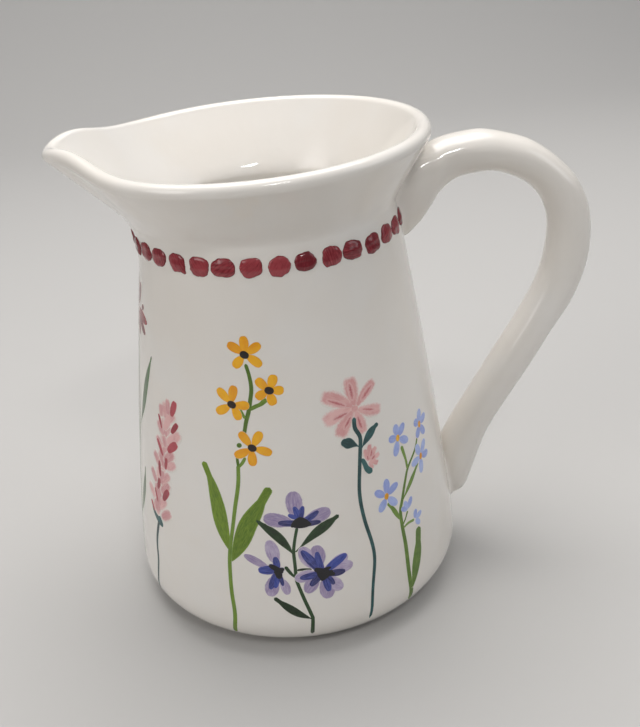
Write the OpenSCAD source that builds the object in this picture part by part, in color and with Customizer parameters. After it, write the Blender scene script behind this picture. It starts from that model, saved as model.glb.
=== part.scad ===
// Glazed earthenware pitcher with a flared collar, a pouring lip and a rolled strap handle,
// decorated with a border of raised dots and painted sprigs.
// Frame: origin at the centre of the base, +Z up, the handle at +X and the spout at -X.

/* [Vessel] */
// Height of the rim's centre line above the handle
rim_h = 202.5; // [196:0.5:208]
// Largest radius, at the top of the rounded base
body_r = 73; // [71:0.5:74]
// Radius of the flat face that the pitcher stands on
base_r = 52; // [48:0.5:54]
// Height of the rounded base edge
base_h = 18; // [16:0.5:20]
// Outer radius at the neck
neck_r = 52.3; // [51.5:0.1:53]
// Height of the neck crease
neck_h = 174; // [172:0.5:176]
// How far the wall bows outwards between base and neck
wall_bow = 1.6; // [0:0.1:2]
// Thickness of the fired wall
wall_t = 5; // [4:0.5:6]
// Thickness of the floor
floor_t = 6; // [5:0.5:8]

/* [Rim and spout] */
// Radius of the round part of the mouth, to the middle of the lip
mouth_r = 68; // [66:0.5:70]
// How far the mouth's centre lies towards the spout
mouth_shift = 4; // [3:0.5:5]
// How far the spout is drawn out past the round mouth
spout_out = 10.3; // [8:0.1:12]
// Half width of the spout, in degrees round the mouth
spout_angle = 15; // [13:1:18]
// How far the rim sinks from the handle to the spout
rim_sink = 3.2; // [2:0.1:4]
// Rise of the rim on the spout's two shoulders
shoulder_rise = 9.6; // [8:0.1:11]
// Dip of the rim at the spout's tip
tip_dip = 5; // [4:0.1:6]
// Radius of the rounded lip
lip_r = 3.1; // [2.8:0.1:3.4]
// How far the spout bulges out at the neck
throat_out = 5.2; // [3:0.1:6]

/* [Dots] */
// Number of raised dots
dot_count = 31; // [28:1:32]
// Angle between the handle's middle and the nearest dot
dot_start = 16; // [15:1:18]
// Height of the row of dots
dot_h = 167.5; // [166:0.5:169]
// Radius of a dot
dot_r = 4.4; // [4:0.1:4.7]
// How far a dot stands out
dot_rise = 1.4; // [1:0.1:2.4]

/* [Painting] */
// Thickness of the brushed-on colour
paint_t = 0.4; // [0.3:0.05:0.6]
// Width of a plain painted stem
stem_w = 2; // [1.4:0.1:2.6]

/* [Hidden] */

around = 72;              // facets round the vessel
wall_rings = 12;          // steps up the wall
collar_rings = 8;         // steps up the collar
neck_softness = 0.12;     // share of the collar's height taken by the fillet at the neck
paint_low = 8;            // the painting stays above this height
paint_high = 160;         // and below this one
paint_depth = 40;         // the drawings are cut through the paint skin from this radius outwards

// Angle of each sprig round the wall on the side with the spout at the left. The other side
// mirrors the sprigs.
yellow_daisy_at = -112;
violet_at = -95;
pink_daisy_at = -70;
forget_me_not_at = -53;
bellflower_at = -150;
poppy_at = -168;

// ---- the vessel's surface ----

// Outer radius of the body at height z
function wall_r(z) =
    let (s = max(0, (z - base_h) / (neck_h - base_h)))
    z < base_h
        ? base_r + (body_r - base_r) * sqrt(1 - pow(1 - z / base_h, 2))
        : body_r + (neck_r - body_r) * s + wall_bow * sin(180 * pow(min(s, 1), 0.8));

function from_spout(a) = abs(((a % 360) + 360) % 360 - 180);
function bell(x, width) = exp(-pow(x / width, 2));

// Plan radius and height of the lip's centre line at angle a
function rim_r(a) = mouth_r - mouth_shift * cos(a) + spout_out * bell(from_spout(a), spout_angle);
function rim_z(a) = rim_h - rim_sink * (1 - cos(a)) / 2
    + shoulder_rise * bell(from_spout(a), 25) - tip_dip * bell(from_spout(a), 10);

// The spout's throat: 0 on the handle's half, growing to 1 at the spout
function throat(a) = pow(max(0, 1 - from_spout(a) / 90), 2);
function neck_at(a) = neck_r + throat_out * throat(a);

function polar(r, a, z) = [r * cos(a), r * sin(a), z];
// Share of the collar's flare reached at height t, with a tighter fillet under the spout
function flare(a, t) = let (soft = neck_softness * (1 - 0.4 * throat(a)))
    (sqrt(t * t + soft * soft) - soft) / (sqrt(1 + soft * soft) - soft);

// Point of the collar's outer face, t from 0 at the neck to 1 under the lip
function collar_point(a, t) =
    let (r1 = rim_r(a) + 0.85 * lip_r, z1 = rim_z(a) - 0.5 * lip_r)
    polar(neck_at(a) + (r1 - neck_at(a)) * flare(a, t), a, neck_h + (z1 - neck_h) * t);
// Point of the collar's inner face, t from 0 at the neck to 1 inside the lip
function inner_collar_point(a, t) =
    let (r0 = neck_at(a) - wall_t, r1 = rim_r(a) - lip_r)
    polar(r0 + (r1 - r0) * flare(a, t), a, neck_h + (rim_z(a) - neck_h) * t);
function lip_point(a, turn) =
    polar(rim_r(a) + lip_r * cos(turn), a, rim_z(a) + lip_r * sin(turn));

turns = [for (i = [0:around - 1]) 360 * i / around];
outer_rings = concat(
    [for (b = [0:15:75]) [for (a = turns)
        polar(base_r + (body_r - base_r) * sin(b), a, base_h * (1 - cos(b)))]],
    [for (i = [0:wall_rings]) let (z = base_h + (neck_h - base_h) * i / wall_rings)
        [for (a = turns) polar(wall_r(z) + throat_out * throat(a) * pow(i / wall_rings, 24), a, z)]],
    [for (i = [1:collar_rings]) [for (a = turns) collar_point(a, i / collar_rings)]],
    [for (turn = [0:30:60]) [for (a = turns) lip_point(a, turn)]]);
inner_foot_r = base_r - 4;
inner_rings = concat(
    [for (turn = [90:30:150]) [for (a = turns) lip_point(a, turn)]],
    [for (i = [6:-1:0]) [for (a = turns) inner_collar_point(a, i / 6)]],
    [for (z = [160:-20:20]) [for (a = turns) polar(wall_r(z) - wall_t, a, z)]],
    [for (b = [60:-20:0]) [for (a = turns)
        polar(inner_foot_r + (wall_r(20) - wall_t - inner_foot_r) * sin(b), a,
              floor_t + 14 * (1 - cos(b)))]]);

// A closed solid through a stack of rings that all have the same number of points
module loft(rings) {
    n = len(rings[0]);
    last = len(rings) - 1;
    polyhedron([for (ring = rings) for (p = ring) p],
        concat([[for (j = [0:n - 1]) j]],
               [for (i = [0:last - 1]) for (j = [0:n - 1])
                   [i * n + j, (i + 1) * n + j, (i + 1) * n + (j + 1) % n, i * n + (j + 1) % n]],
               [[for (j = [n - 1:-1:0]) last * n + j]]));
}

// ---- fired clay ----

module body() color("ivory") loft(concat(outer_rings, inner_rings));

// The vessel without its hollow, which trims what is stuck to its outside
module vessel_core()
    loft(concat(outer_rings, [[for (a = turns) polar(rim_r(a), a, rim_h + 20)]]));

// Handle sections: x and z of the outer side, x and z of the inner side, half width, and how
// much wider the outer half is
handle_sections = [
    [44, 187, 48, 154, 10.5, 0.5], [54, 188.5, 56.5, 154.5, 10.5, 0.5],
    [60, 190, 60.5, 157.5, 10.5, 0.5], [65, 191.5, 64, 161, 10.5, 0.4],
    [69.5, 193, 67.5, 166, 10.5, 0.3], [74, 194.5, 71.5, 172, 10, 0.2],
    [80.5, 195.5, 78.5, 177, 10, 0.1], [90, 196, 89, 178.5, 10, 0], [100.5, 193.5, 95.5, 178, 9.5, 0],
    [111, 189.5, 103.5, 175, 9.5, 0], [121.5, 182, 111, 170, 9.5, 0], [131.5, 171, 116.5, 163, 9.5, 0],
    [137.5, 155.5, 119.5, 152.5, 9.5, 0], [137.5, 136.5, 118.5, 139.5, 9.5, 0],
    [131.5, 118, 114.5, 126, 9.5, 0], [121, 101.5, 106, 110.5, 9.5, 0], [111.5, 86, 96.5, 96, 9.5, 0],
    [102, 72, 87, 81, 9.5, 0], [92.5, 57, 77.5, 66, 10, 0], [87, 43.5, 71, 54, 11, 0],
    [84, 36, 68.5, 46, 12, 0], [82, 31, 66, 39, 12, 0], [80.5, 28, 64, 34, 11, 0],
    [78, 26.5, 62, 30.5, 9.5, 0], [74.5, 25.5, 60, 28, 8.5, 0], [68, 25, 58, 26.5, 7, 0]];
function spline(p, i, t) =
    let (n = len(p) - 1, a = p[max(i - 1, 0)], b = p[i], c = p[min(i + 1, n)], d = p[min(i + 2, n)])
    0.5 * (2 * b + (c - a) * t + (2 * a - 5 * b + 4 * c - d) * t * t
           + (3 * b - a - 3 * c + d) * t * t * t);
handle_line = [for (i = [0:len(handle_sections) - 2]) for (t = [0, 0.5]) spline(handle_sections, i, t)];
handle_rings = [for (s = handle_line) [for (a = [0:15:345])
    [(s[0] + s[2]) / 2 + (s[0] - s[2]) / 2 * cos(a), -s[4] * sin(a) * (1 + s[5] * cos(a)),
     (s[1] + s[3]) / 2 + (s[1] - s[3]) / 2 * cos(a)]]];

module handle() color("ivory") resize([0, 0, 0]) difference() {
    loft(handle_rings);
    vessel_core();
}

// ---- raised dots ----

dot_sphere = (dot_r * dot_r + dot_rise * dot_rise) / (2 * dot_rise);
dot_lean = 6;             // the wall's lean at the row of dots
dot_sink = 0.15;          // how far a dot's flat back is bedded in the wall

module dot() intersection() {
    translate([0, 0, dot_rise - dot_sphere]) sphere(dot_sphere, $fn = 32);
    cylinder(h = dot_rise, r = dot_r, $fn = 32);
}

module dot_border() color("crimson")
    for (i = [0:dot_count - 1]) {
        a = dot_start + (360 - 2 * dot_start) * i / (dot_count - 1);
        r = wall_r(dot_h) + throat_out * throat(a) * pow((dot_h - base_h) / (neck_h - base_h), 24);
        rotate([0, 0, a]) translate([r - dot_sink, 0, dot_h]) rotate([0, 90 - dot_lean, 0]) dot();
    }

// ---- painting: flat strokes, drawn with x across and y up, laid on the wall ----

// A coat of colour round the whole wall; the second coat lies on the first
module paint_skin(coat) rotate_extrude($fn = 72)
    polygon(concat([for (z = [paint_low:8:paint_high]) [wall_r(z) + coat * paint_t, z]],
                   [for (z = [paint_high:-8:paint_low]) [wall_r(z) + (coat - 1) * paint_t, z]]));

// The children's outlines cut out of the paint skin at a sprig's angle and, turned over, at the
// mirrored angle
module painted(at, coat = 1) intersection() {
    paint_skin(coat);
    for (place = [[90 + at, paint_depth], [270 - at, -2 * paint_depth]])
        rotate([90, 0, place[0]]) translate([0, 0, place[1]]) linear_extrude(paint_depth) children();
}

// A brush stroke that swells from a narrow start to a round end
module stroke(x, y, dir, length, width) translate([x, y]) rotate(dir)
    polygon([for (i = [0:11]) let (t = 0.5 - 0.5 * cos(30 * i), half = width * sqrt(t - t * t))
        [length * t, (i < 6 ? half : -half) * (0.6 + 0.4 * t)]]);
// A stroke from one point to another
module stroke_to(p, q, width)
    stroke(p[0], p[1], atan2(q[1] - p[1], q[0] - p[0]), norm(q - p), width);
module spot(x, y, w, h) translate([x, y])
    polygon([for (a = [0:36:324]) [w / 2 * cos(a), h / 2 * sin(a)]]);
// A stem along its points
function side(p, i, w) =
    let (a = p[max(i - 1, 0)], b = p[min(i + 1, len(p) - 1)], d = (b - a) / norm(b - a))
    p[i] + w / 2 * [-d[1], d[0]];
module ribbon(p, w)
    polygon(concat([for (i = [0:len(p) - 1]) side(p, i, w[i])],
                   [for (i = [len(p) - 1:-1:0]) side(p, i, -w[i])]));
module stem(p, w = stem_w) ribbon(p, [for (q = p) w]);
// A leaf along its points: narrow at the foot, full in the middle, blunt at the tip
module leaf(p, w) let (n = len(p) - 1)
    ribbon(p, [for (i = [0:n]) w * (0.25 + 0.75 * sin(180 * i / n))]);
module strokes(list) for (s = list) stroke_to(s[0], s[1], s[2]);
// A flower's petals from near its centre out to their tips
module petals(c, tips, width, start = 0.12) for (tip = tips)
    stroke_to(c + start * (tip - c), tip, width);

yellow_daisies = [
    [[4, 134.5], [[3.5, 141.5], [10, 138.5], [10, 130], [-0.5, 129.5], [-2.5, 138.5]]],
    [[-2.5, 114.5], [[-7.5, 120.5], [-1, 122], [4.5, 114.5], [0, 108.5], [-9, 111]]],
    [[12.5, 120], [[8, 125], [14, 126.5], [17.5, 120], [14, 114.5], [7.5, 117.5]]],
    [[4.5, 97], [[0, 103.5], [8.5, 103.5], [12, 95], [4.5, 89.5], [-2.5, 93.5]]]];
module yellow_daisy_petals() color("gold") painted(yellow_daisy_at)
    for (f = yellow_daisies) petals(f[0], f[1], 4.5);
module yellow_daisy_eyes() color("saddlebrown") painted(yellow_daisy_at, 2)
    for (f = yellow_daisies) spot(f[0][0], f[0][1], 3.5, 3);
module yellow_daisy_stems() color("forestgreen") painted(yellow_daisy_at) {
    stem([[5, 127.5], [5.5, 121], [5, 116], [4, 111.5], [2.5, 107.5], [1.5, 104]], 1.6);
    stem([[4.5, 112.5], [7, 114], [9, 115.5]], 1.6);
    stem([[-1.5, 89.5], [-2, 82.5], [-4, 71.5], [-6, 61], [-7.5, 52], [-9, 43], [-8.5, 31],
          [-8.5, 18.5], [-10, 9]]);
}
module yellow_daisy_leaves() color("mediumseagreen") painted(yellow_daisy_at) {
    leaf([[-9.5, 56], [-11.5, 63], [-12, 71.5], [-13.5, 81], [-16.5, 88.5]], 5);
    leaf([[-6, 50.5], [-2.5, 56], [1, 64], [5, 70.5], [10.5, 80]], 5.5);
}

module violet_petals() color("mediumpurple") painted(violet_at) strokes([
    [[-1.5, 65.5], [-13, 67.5], 6], [[0.5, 66], [0.5, 78.5], 7], [[3, 65], [14, 68], 6.5],
    [[-10, 46], [-12, 57.5], 5], [[-12, 44.5], [-22.5, 50], 4], [[-11, 42], [-14, 31.5], 5],
    [[-8.5, 41], [-6.5, 32.5], 3.5], [[7, 43], [1, 54], 5.5], [[8, 43], [7, 53.5], 6],
    [[11, 41], [21.5, 41], 5], [[11, 42], [19, 47], 4.5], [[7, 40.5], [1.5, 32.5], 5],
    [[7, 41], [-1, 39.5], 4.5], [[9, 39.5], [10, 28.5], 5], [[9.5, 39.5], [16.5, 32], 4.5]]);
module violet_streaks() color("royalblue") painted(violet_at, 2) strokes([
    [[-2, 64.5], [-7, 65], 2], [[0.5, 68], [0, 71], 1.8], [[6, 66.5], [8.5, 68.5], 1.8],
    [[-13, 44], [-16.5, 43.5], 2], [[-11.5, 39.5], [-13, 35.5], 1.8],
    [[4.5, 45.5], [1.5, 51.5], 2.4], [[13, 44], [18, 46.5], 2.4], [[4, 40.5], [0, 39.5], 1.8],
    [[10, 36], [10.5, 33], 1.6]]);
module violet_eyes() color("black") painted(violet_at, 2) {
    strokes([[[-2, 62.5], [2, 67], 2.4], [[1.5, 67], [6, 63], 2.6], [[-1.5, 63.5], [5.5, 63.5], 2.6]]);
    strokes([[[-13, 46.5], [-7, 42.5], 2.6], [[-9.5, 45], [-9, 39.5], 3], [[5, 43], [15, 39.5], 3.2],
             [[13.5, 41], [7.5, 37], 2.8]]);
}
module violet_stems() color("darkgreen") painted(violet_at) {
    stem([[-0.5, 60.5], [-1.5, 56], [-2.5, 51], [-2, 43.5]], 1.4);
    stem([[-1.5, 36], [0.5, 29], [2.5, 21.5], [3, 19], [2, 10]], 1.6);
    leaf([[-2.5, 52], [-5, 55.5], [-9, 60], [-16, 66.5]], 3);
    leaf([[-1.5, 53], [3.5, 56], [8, 59.5], [17, 64.5]], 3);
    leaf([[1.5, 20.5], [-2, 22.5], [-6.5, 26], [-12, 30.5]], 2.8);
}

pink_daisy_c = [0, 107.5];
pink_daisy_tips = [[-0.5, 121], [11, 115.5], [12, 103.5], [2.5, 95.5], [-8, 97], [-13.5, 104.5],
          [-13, 115.5]];
pink_bud_c = [3, 84];
pink_bud_tips = [[3, 90.5], [7, 90], [8.5, 86.5], [7.5, 81.5], [3.5, 80]];
module pink_daisy_petals() color("lightpink") painted(pink_daisy_at) {
    petals(pink_daisy_c, pink_daisy_tips, 4.5);
    petals(pink_bud_c, pink_bud_tips, 2.4);
}
module pink_daisy_streaks() color("palevioletred") painted(pink_daisy_at, 2) {
    for (tip = pink_daisy_tips) let (reach = tip - pink_daisy_c)
        stroke_to(pink_daisy_c + 0.75 * reach, pink_daisy_c + 0.2 * reach, 1.3);
    stroke_to([5.5, 88.5], [3.5, 84.5], 1.2);
}
module pink_daisy_stems() color("teal") painted(pink_daisy_at) {
    stem([[-1, 99.5], [0.5, 95], [0, 89], [-2, 77], [-2.5, 68.5], [-2, 59], [0, 49], [0.5, 41.5],
          [-1, 32], [-2.5, 23], [-4, 11.5]], 1.4);
    leaf([[-0.5, 91.5], [-3.5, 94], [-7.5, 96]], 3.4);
    leaf([[1, 91.5], [5, 94], [9.5, 98]], 2.4);
    stem([[0, 82.5], [2, 80], [3.5, 78]], 1.2);
}

forget_me_nots = [
    [[-0.5, 87.5], [[-0.5, 93.5], [4.5, 92], [5.5, 84], [-3, 81], [-5, 89]]],
    [[15, 86.5], [[17, 92.5], [21, 88], [18.5, 81], [12.5, 81.5], [11.5, 89]]],
    [[12.5, 73], [[17, 78.5], [19, 72], [12, 66], [6, 72.5], [11, 79]]],
    [[-10.5, 65.5], [[-9.5, 73], [-4, 68.5], [-6, 60], [-14.5, 60], [-15.5, 69.5]]]];
module forget_me_not_petals() color("lightsteelblue") painted(forget_me_not_at) {
    for (f = forget_me_nots) petals(f[0], f[1], 3.5);
    petals([-0.5, 54.5], [[3, 59.5], [-2, 59], [-4, 56.5]], 2.6);
    petals([3.5, 48], [[4.5, 52.5], [8, 49.5], [6, 44.5]], 2.6);
}
module forget_me_not_eyes() color("orange") painted(forget_me_not_at, 2)
    for (f = forget_me_nots) spot(f[0][0], f[0][1], 1.8, 2.4);
module forget_me_not_stems() color("olivedrab") painted(forget_me_not_at) {
    stem([[-3, 9.5], [-4, 20.5], [-4, 31], [-4, 40], [-4.5, 50]], 1.8);
    stem([[-4.5, 50], [-4.5, 55], [-3, 60], [1, 68], [3.5, 72.5], [8, 76.5], [11, 80]], 1.2);
    stem([[3, 72.5], [2.5, 77], [1.5, 81]], 1.2);
    stem([[-2.5, 60.5], [3, 65], [8, 69]], 1.2);
    stem([[-4.5, 51.5], [-7, 56], [-8.5, 60]], 1.4);
    stem([[-4, 47.5], [-1, 48.5], [2, 48]], 1.2);
    leaf([[-3, 18], [0, 27], [3.5, 34], [5, 43]], 3.8);
}

module bellflower_petals() color("pink") painted(bellflower_at) strokes([
    [[2, 107.5], [2.5, 101], 3], [[4, 108], [6, 101], 3], [[7, 111], [7, 103], 3],
    [[11, 105.5], [6.5, 100], 3.5],
    [[-1, 99.5], [4, 93], 3.5], [[8.5, 104], [4, 95.5], 4], [[14.5, 98], [5, 91], 4],
    [[-2, 92], [3, 87], 3.5],
    [[3, 94], [4.5, 88], 3], [[-5, 83.5], [1, 77.5], 4], [[10, 88.5], [2.5, 81.5], 4],
    [[11.5, 83.5], [3.5, 79.5], 3.5],
    [[-8, 75], [-3, 69], 3.5], [[2, 78], [0, 69.5], 3.5], [[7, 77], [1, 71], 3.5],
    [[7, 73], [-0.5, 66], 4],
    [[-11, 66.5], [-4.5, 61], 3.5], [[4.5, 64], [-2, 57], 4], [[-7, 59], [-1.5, 54], 3.5],
    [[7.5, 59], [-0.5, 53], 4]]);
module bellflower_marks() color("crimson") painted(bellflower_at, 2) strokes([
    [[11.5, 111], [9, 104], 2.6], [[12.5, 101.5], [9, 96.5], 2.2], [[12, 92.5], [6.5, 87], 3],
    [[5, 84], [4.5, 78.5], 1.8], [[6, 69], [1.5, 63], 2.6], [[0, 102], [2.5, 96], 1.4],
    [[-1.5, 90.5], [2.5, 84], 1.8],
    [[0, 81], [0.5, 73.5], 1.8], [[-0.5, 72.5], [-2.5, 67], 2], [[-5, 66], [-2.5, 60], 1.4],
    [[-9, 58.5], [-6, 54.5], 1.4]]);
module bellflower_stems() color("teal") painted(bellflower_at) {
    stroke_to([-7, 53], [-1, 50], 2.2);
    stem([[-3.5, 50], [-4.5, 45], [-5.5, 38], [-6, 27.5], [-8.5, 11.5]], 1.2);
}

module poppy_petals() color("firebrick") painted(poppy_at) strokes([
    [[-4.5, 141], [-1, 151], 4.5], [[-4.5, 139.5], [8.5, 137], 4], [[-4.5, 138.5], [6.5, 131.5], 4],
    [[-5.5, 138], [-2, 128.5], 4.5], [[-6.5, 138], [-11.5, 129], 4.5],
    [[-7.5, 139.5], [-18, 136.5], 4.5],
    [[-7, 140.5], [-16.5, 146.5], 4.5], [[-6, 141.5], [-8.5, 152], 4.5]]);
module poppy_stems() color("darkgreen") painted(poppy_at) {
    stem([[-8.5, 127], [-6.5, 121], [-4.5, 108], [-3.5, 92], [-4.5, 75], [-6.5, 55], [-7, 34],
          [-8, 14]], 1.6);
    leaf([[-2, 89], [4, 99], [8, 111], [13.5, 125]], 4.6);
    leaf([[-5.5, 80], [-9, 89], [-12, 100], [-17, 112]], 4.6);
    leaf([[-6, 42], [-1, 50], [3, 60], [5.5, 71]], 4.4);
}

body();
handle();
dot_border();
yellow_daisy_petals();
yellow_daisy_eyes();
yellow_daisy_stems();
yellow_daisy_leaves();
violet_petals();
violet_streaks();
violet_eyes();
violet_stems();
pink_daisy_petals();
pink_daisy_streaks();
pink_daisy_stems();
forget_me_not_petals();
forget_me_not_eyes();
forget_me_not_stems();
bellflower_petals();
bellflower_marks();
bellflower_stems();
poppy_petals();
poppy_stems();
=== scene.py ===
"""Looks of the glazed pitcher: smooth fired clay, raised glaze dots and brushed-on flowers."""
import math

import bpy
import numpy as np
from mathutils import Matrix, Vector


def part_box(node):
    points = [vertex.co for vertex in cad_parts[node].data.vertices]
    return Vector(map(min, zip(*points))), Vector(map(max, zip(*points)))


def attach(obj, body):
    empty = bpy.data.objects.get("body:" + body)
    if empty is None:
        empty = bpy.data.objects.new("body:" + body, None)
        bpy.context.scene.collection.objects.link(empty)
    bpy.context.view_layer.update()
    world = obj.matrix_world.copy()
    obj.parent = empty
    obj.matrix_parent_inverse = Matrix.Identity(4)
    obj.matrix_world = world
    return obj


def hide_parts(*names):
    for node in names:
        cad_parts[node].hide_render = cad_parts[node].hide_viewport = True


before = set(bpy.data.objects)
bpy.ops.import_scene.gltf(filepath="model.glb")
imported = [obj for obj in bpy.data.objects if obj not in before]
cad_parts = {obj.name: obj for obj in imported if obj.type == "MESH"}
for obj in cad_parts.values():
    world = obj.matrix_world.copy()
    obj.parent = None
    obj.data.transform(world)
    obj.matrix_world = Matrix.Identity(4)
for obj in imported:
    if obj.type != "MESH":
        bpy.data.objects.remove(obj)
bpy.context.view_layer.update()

MM = 0.001
BODY = "root"

# ---- the vessel's sizes, in millimetres, as in the part ----
RIM_H = 202.5
BODY_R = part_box("body")[1].y / MM
BASE_R = 52.0
BASE_H = 18.0
NECK_R = 52.3
NECK_H = 174.0
WALL_BOW = 1.6
WALL_T = 5.0
FLOOR_T = 6.0
MOUTH_R = 68.0
MOUTH_SHIFT = 4.0
SPOUT_OUT = 10.3
SPOUT_ANGLE = 15.0
RIM_SINK = 3.2
SHOULDER_RISE = 9.6
SHOULDER_ANGLE = 25.0
TIP_DIP = 5.0
TIP_ANGLE = 10.0
LIP_R = 3.1
# where the collar's sides meet the lip's circle, as shares of its radius
LIP_SIDE = 0.866
LIP_DROP = 0.5
THROAT_OUT = 5.2
THROAT_ANGLE = 90.0
THROAT_TIGHTNESS = 0.4
THROAT_CLIMB = 24
NECK_SOFTNESS = 0.12
# the underside and the inside
FOOT_RING_R = 45.5
FOOT_RISE = 0.45
INNER_FOOT_R = BASE_R - 4
INNER_EDGE_H = 22.0


# ---- the vessel's surface ----

def wobble(a, z):
    """Unevenness left by the mould and the sponge, in millimetres."""
    t = np.radians(a)
    return (0.10 * np.sin(2 * t + 1.3 + z / 60) + 0.06 * np.sin(3 * t - z / 35 + 0.7)
            + 0.05 * np.sin(5 * t + z / 23 + 2.0) + 0.04 * np.sin(z / 11 + t))


def wall_share(z):
    """How far up the wall a height lies, from 0 at the base edge to 1 at the neck."""
    return np.clip((z - BASE_H) / (NECK_H - BASE_H), 0, 1)


def wall_r(z):
    """Radius of the base edge and the bowed wall, before the neck."""
    z = np.asarray(z, float)
    s = wall_share(z)
    edge = 1 - (1 - np.clip(z, 0, BASE_H) / BASE_H) ** 2
    low = BASE_R + (BODY_R - BASE_R) * np.sqrt(np.clip(edge, 0, 1))
    high = BODY_R + (NECK_R - BODY_R) * s + WALL_BOW * np.sin(np.pi * s ** 0.8)
    return np.where(z < BASE_H, low, high)


def from_spout(a):
    """Degrees between an angle and the spout, which points to 180."""
    return np.abs(np.mod(a, 360) - 180)


def bell(x, width):
    """A smooth bump, 1 in the middle and near 0 beyond twice its width."""
    return np.exp(-(x / width) ** 2)


def rim_r(a):
    """Radius of the middle of the lip."""
    return (MOUTH_R - MOUTH_SHIFT * np.cos(np.radians(a))
            + SPOUT_OUT * bell(from_spout(a), SPOUT_ANGLE))


def rim_z(a):
    """Height of the middle of the lip."""
    return (RIM_H - RIM_SINK * (1 - np.cos(np.radians(a))) / 2
            + SHOULDER_RISE * bell(from_spout(a), SHOULDER_ANGLE)
            - TIP_DIP * bell(from_spout(a), TIP_ANGLE))


def throat(a):
    """Share of the throat's bulge at an angle, 1 under the spout."""
    return np.clip(1 - from_spout(a) / THROAT_ANGLE, 0, None) ** 2


def flare(a, t):
    """Share of the collar's flare reached at height t, with a tighter fillet under the spout."""
    soft = NECK_SOFTNESS * (1 - THROAT_TIGHTNESS * throat(a))
    return (np.sqrt(t * t + soft * soft) - soft) / (np.sqrt(1 + soft * soft) - soft)


def neck_bulge(a, z):
    """How far the throat under the spout pushes the top of the wall out."""
    return THROAT_OUT * throat(a) * wall_share(z) ** THROAT_CLIMB


def collar_radius(a, t):
    """Radius of the collar's outside at share t of its height."""
    neck = NECK_R + THROAT_OUT * throat(a)
    return neck + (rim_r(a) + LIP_SIDE * LIP_R - neck) * flare(a, t)


def outer_r(a, z):
    """Radius of the outside at angle a and height z, from the base edge to under the lip."""
    top = rim_z(a) - LIP_DROP * LIP_R
    t = np.clip((z - NECK_H) / (top - NECK_H), 0, 1)
    below = wall_r(z) + neck_bulge(a, z)
    return np.where(z < NECK_H, below, collar_radius(a, t)) + wobble(a, z)


def polar(r, a, z):
    """Points from radius, angle in degrees and height."""
    t = np.radians(a)
    return np.stack([r * np.cos(t), r * np.sin(t), z + 0 * r], -1)


def on_wall(a, z, lift=0.0):
    """Point at angle a and height z, lifted off the surface along its normal."""
    step = 0.5
    slope = (outer_r(a, z + step) - outer_r(a, z - step)) / (2 * step)
    scale = 1 / np.sqrt(1 + slope ** 2)
    return polar(outer_r(a, z) + lift * scale, a, z - lift * slope * scale)


# ---- meshes ----

def new_mesh(name, points, faces):
    """A smooth-shaded mesh object from points in millimetres."""
    mesh = bpy.data.meshes.new(name)
    mesh.from_pydata((np.asarray(points, float) * MM).tolist(), [], faces)
    mesh.validate()
    mesh.update()
    mesh.polygons.foreach_set("use_smooth", [True] * len(mesh.polygons))
    obj = bpy.data.objects.new(name, mesh)
    bpy.context.scene.collection.objects.link(obj)
    return obj


def set_attribute(obj, name, values):
    attribute = obj.data.attributes.new(name, "FLOAT", "POINT")
    attribute.data.foreach_set("value", np.asarray(values, np.float32))


def grid_faces(rows, columns, first=0, wrap=True):
    """Quads between rows of points; wrap closes each row into a ring."""
    faces = []
    for i in range(rows - 1):
        for j in range(columns if wrap else columns - 1):
            k = (j + 1) % columns
            faces.append((first + i * columns + j, first + i * columns + k,
                          first + (i + 1) * columns + k, first + (i + 1) * columns + j))
    return faces


def finish_piece(obj, material, slot_name, *nodes):
    """Gives a piece its material and its place in the frame."""
    obj.data.materials.append(material)
    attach(obj, BODY)
    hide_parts(*nodes)
    return obj


# ---- materials ----

class Nodes:
    """Short calls for building a node tree."""

    def __init__(self, name):
        self.material = bpy.data.materials.new(name)
        self.material.use_nodes = True
        self.tree = self.material.node_tree
        self.shader = self.tree.nodes["Principled BSDF"]

    def add(self, kind, **values):
        node = self.tree.nodes.new(kind)
        for key, value in values.items():
            setattr(node, key, value)
        return node

    def put(self, source, target):
        if isinstance(source, bpy.types.NodeSocket):
            self.tree.links.new(source, target)
        else:
            target.default_value = source

    def noise(self, scale, detail=2.0, rough=0.5, vector=None):
        node = self.add("ShaderNodeTexNoise")
        node.inputs["Scale"].default_value = scale
        node.inputs["Detail"].default_value = detail
        node.inputs["Roughness"].default_value = rough
        self.put(vector or self.place(), node.inputs["Vector"])
        return node.outputs["Fac"]

    def place(self):
        if not hasattr(self, "_place"):
            self._place = self.add("ShaderNodeTexCoord").outputs["Object"]
        return self._place

    def attribute(self, name):
        return self.add("ShaderNodeAttribute", attribute_name=name).outputs["Fac"]

    def math(self, operation, a, b=0.0, clamp=False):
        node = self.add("ShaderNodeMath", operation=operation, use_clamp=clamp)
        self.put(a, node.inputs[0])
        self.put(b, node.inputs[1])
        return node.outputs[0]

    def ramp(self, value, low, high, to_low=0.0, to_high=1.0):
        node = self.add("ShaderNodeMapRange", interpolation_type="SMOOTHSTEP")
        for socket, given in zip(node.inputs[:5], (value, low, high, to_low, to_high)):
            self.put(given, socket)
        return node.outputs[0]

    def mix(self, factor, a, b):
        node = self.add("ShaderNodeMix", data_type="RGBA")
        self.put(factor, node.inputs[0])
        self.put(a, node.inputs[6])
        self.put(b, node.inputs[7])
        return node.outputs[2]

    def vector(self, x, y, z):
        node = self.add("ShaderNodeCombineXYZ")
        for socket, given in zip(node.inputs, (x, y, z)):
            self.put(given, socket)
        return node.outputs[0]


def rgb(r, g, b):
    return (r, g, b, 1.0)


GLAZE_WHITE = rgb(0.80, 0.765, 0.715)
GLAZE_WARM = rgb(0.74, 0.685, 0.61)
GLAZE_COOL = rgb(0.80, 0.785, 0.76)
BISQUE = rgb(0.72, 0.64, 0.54)


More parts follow.
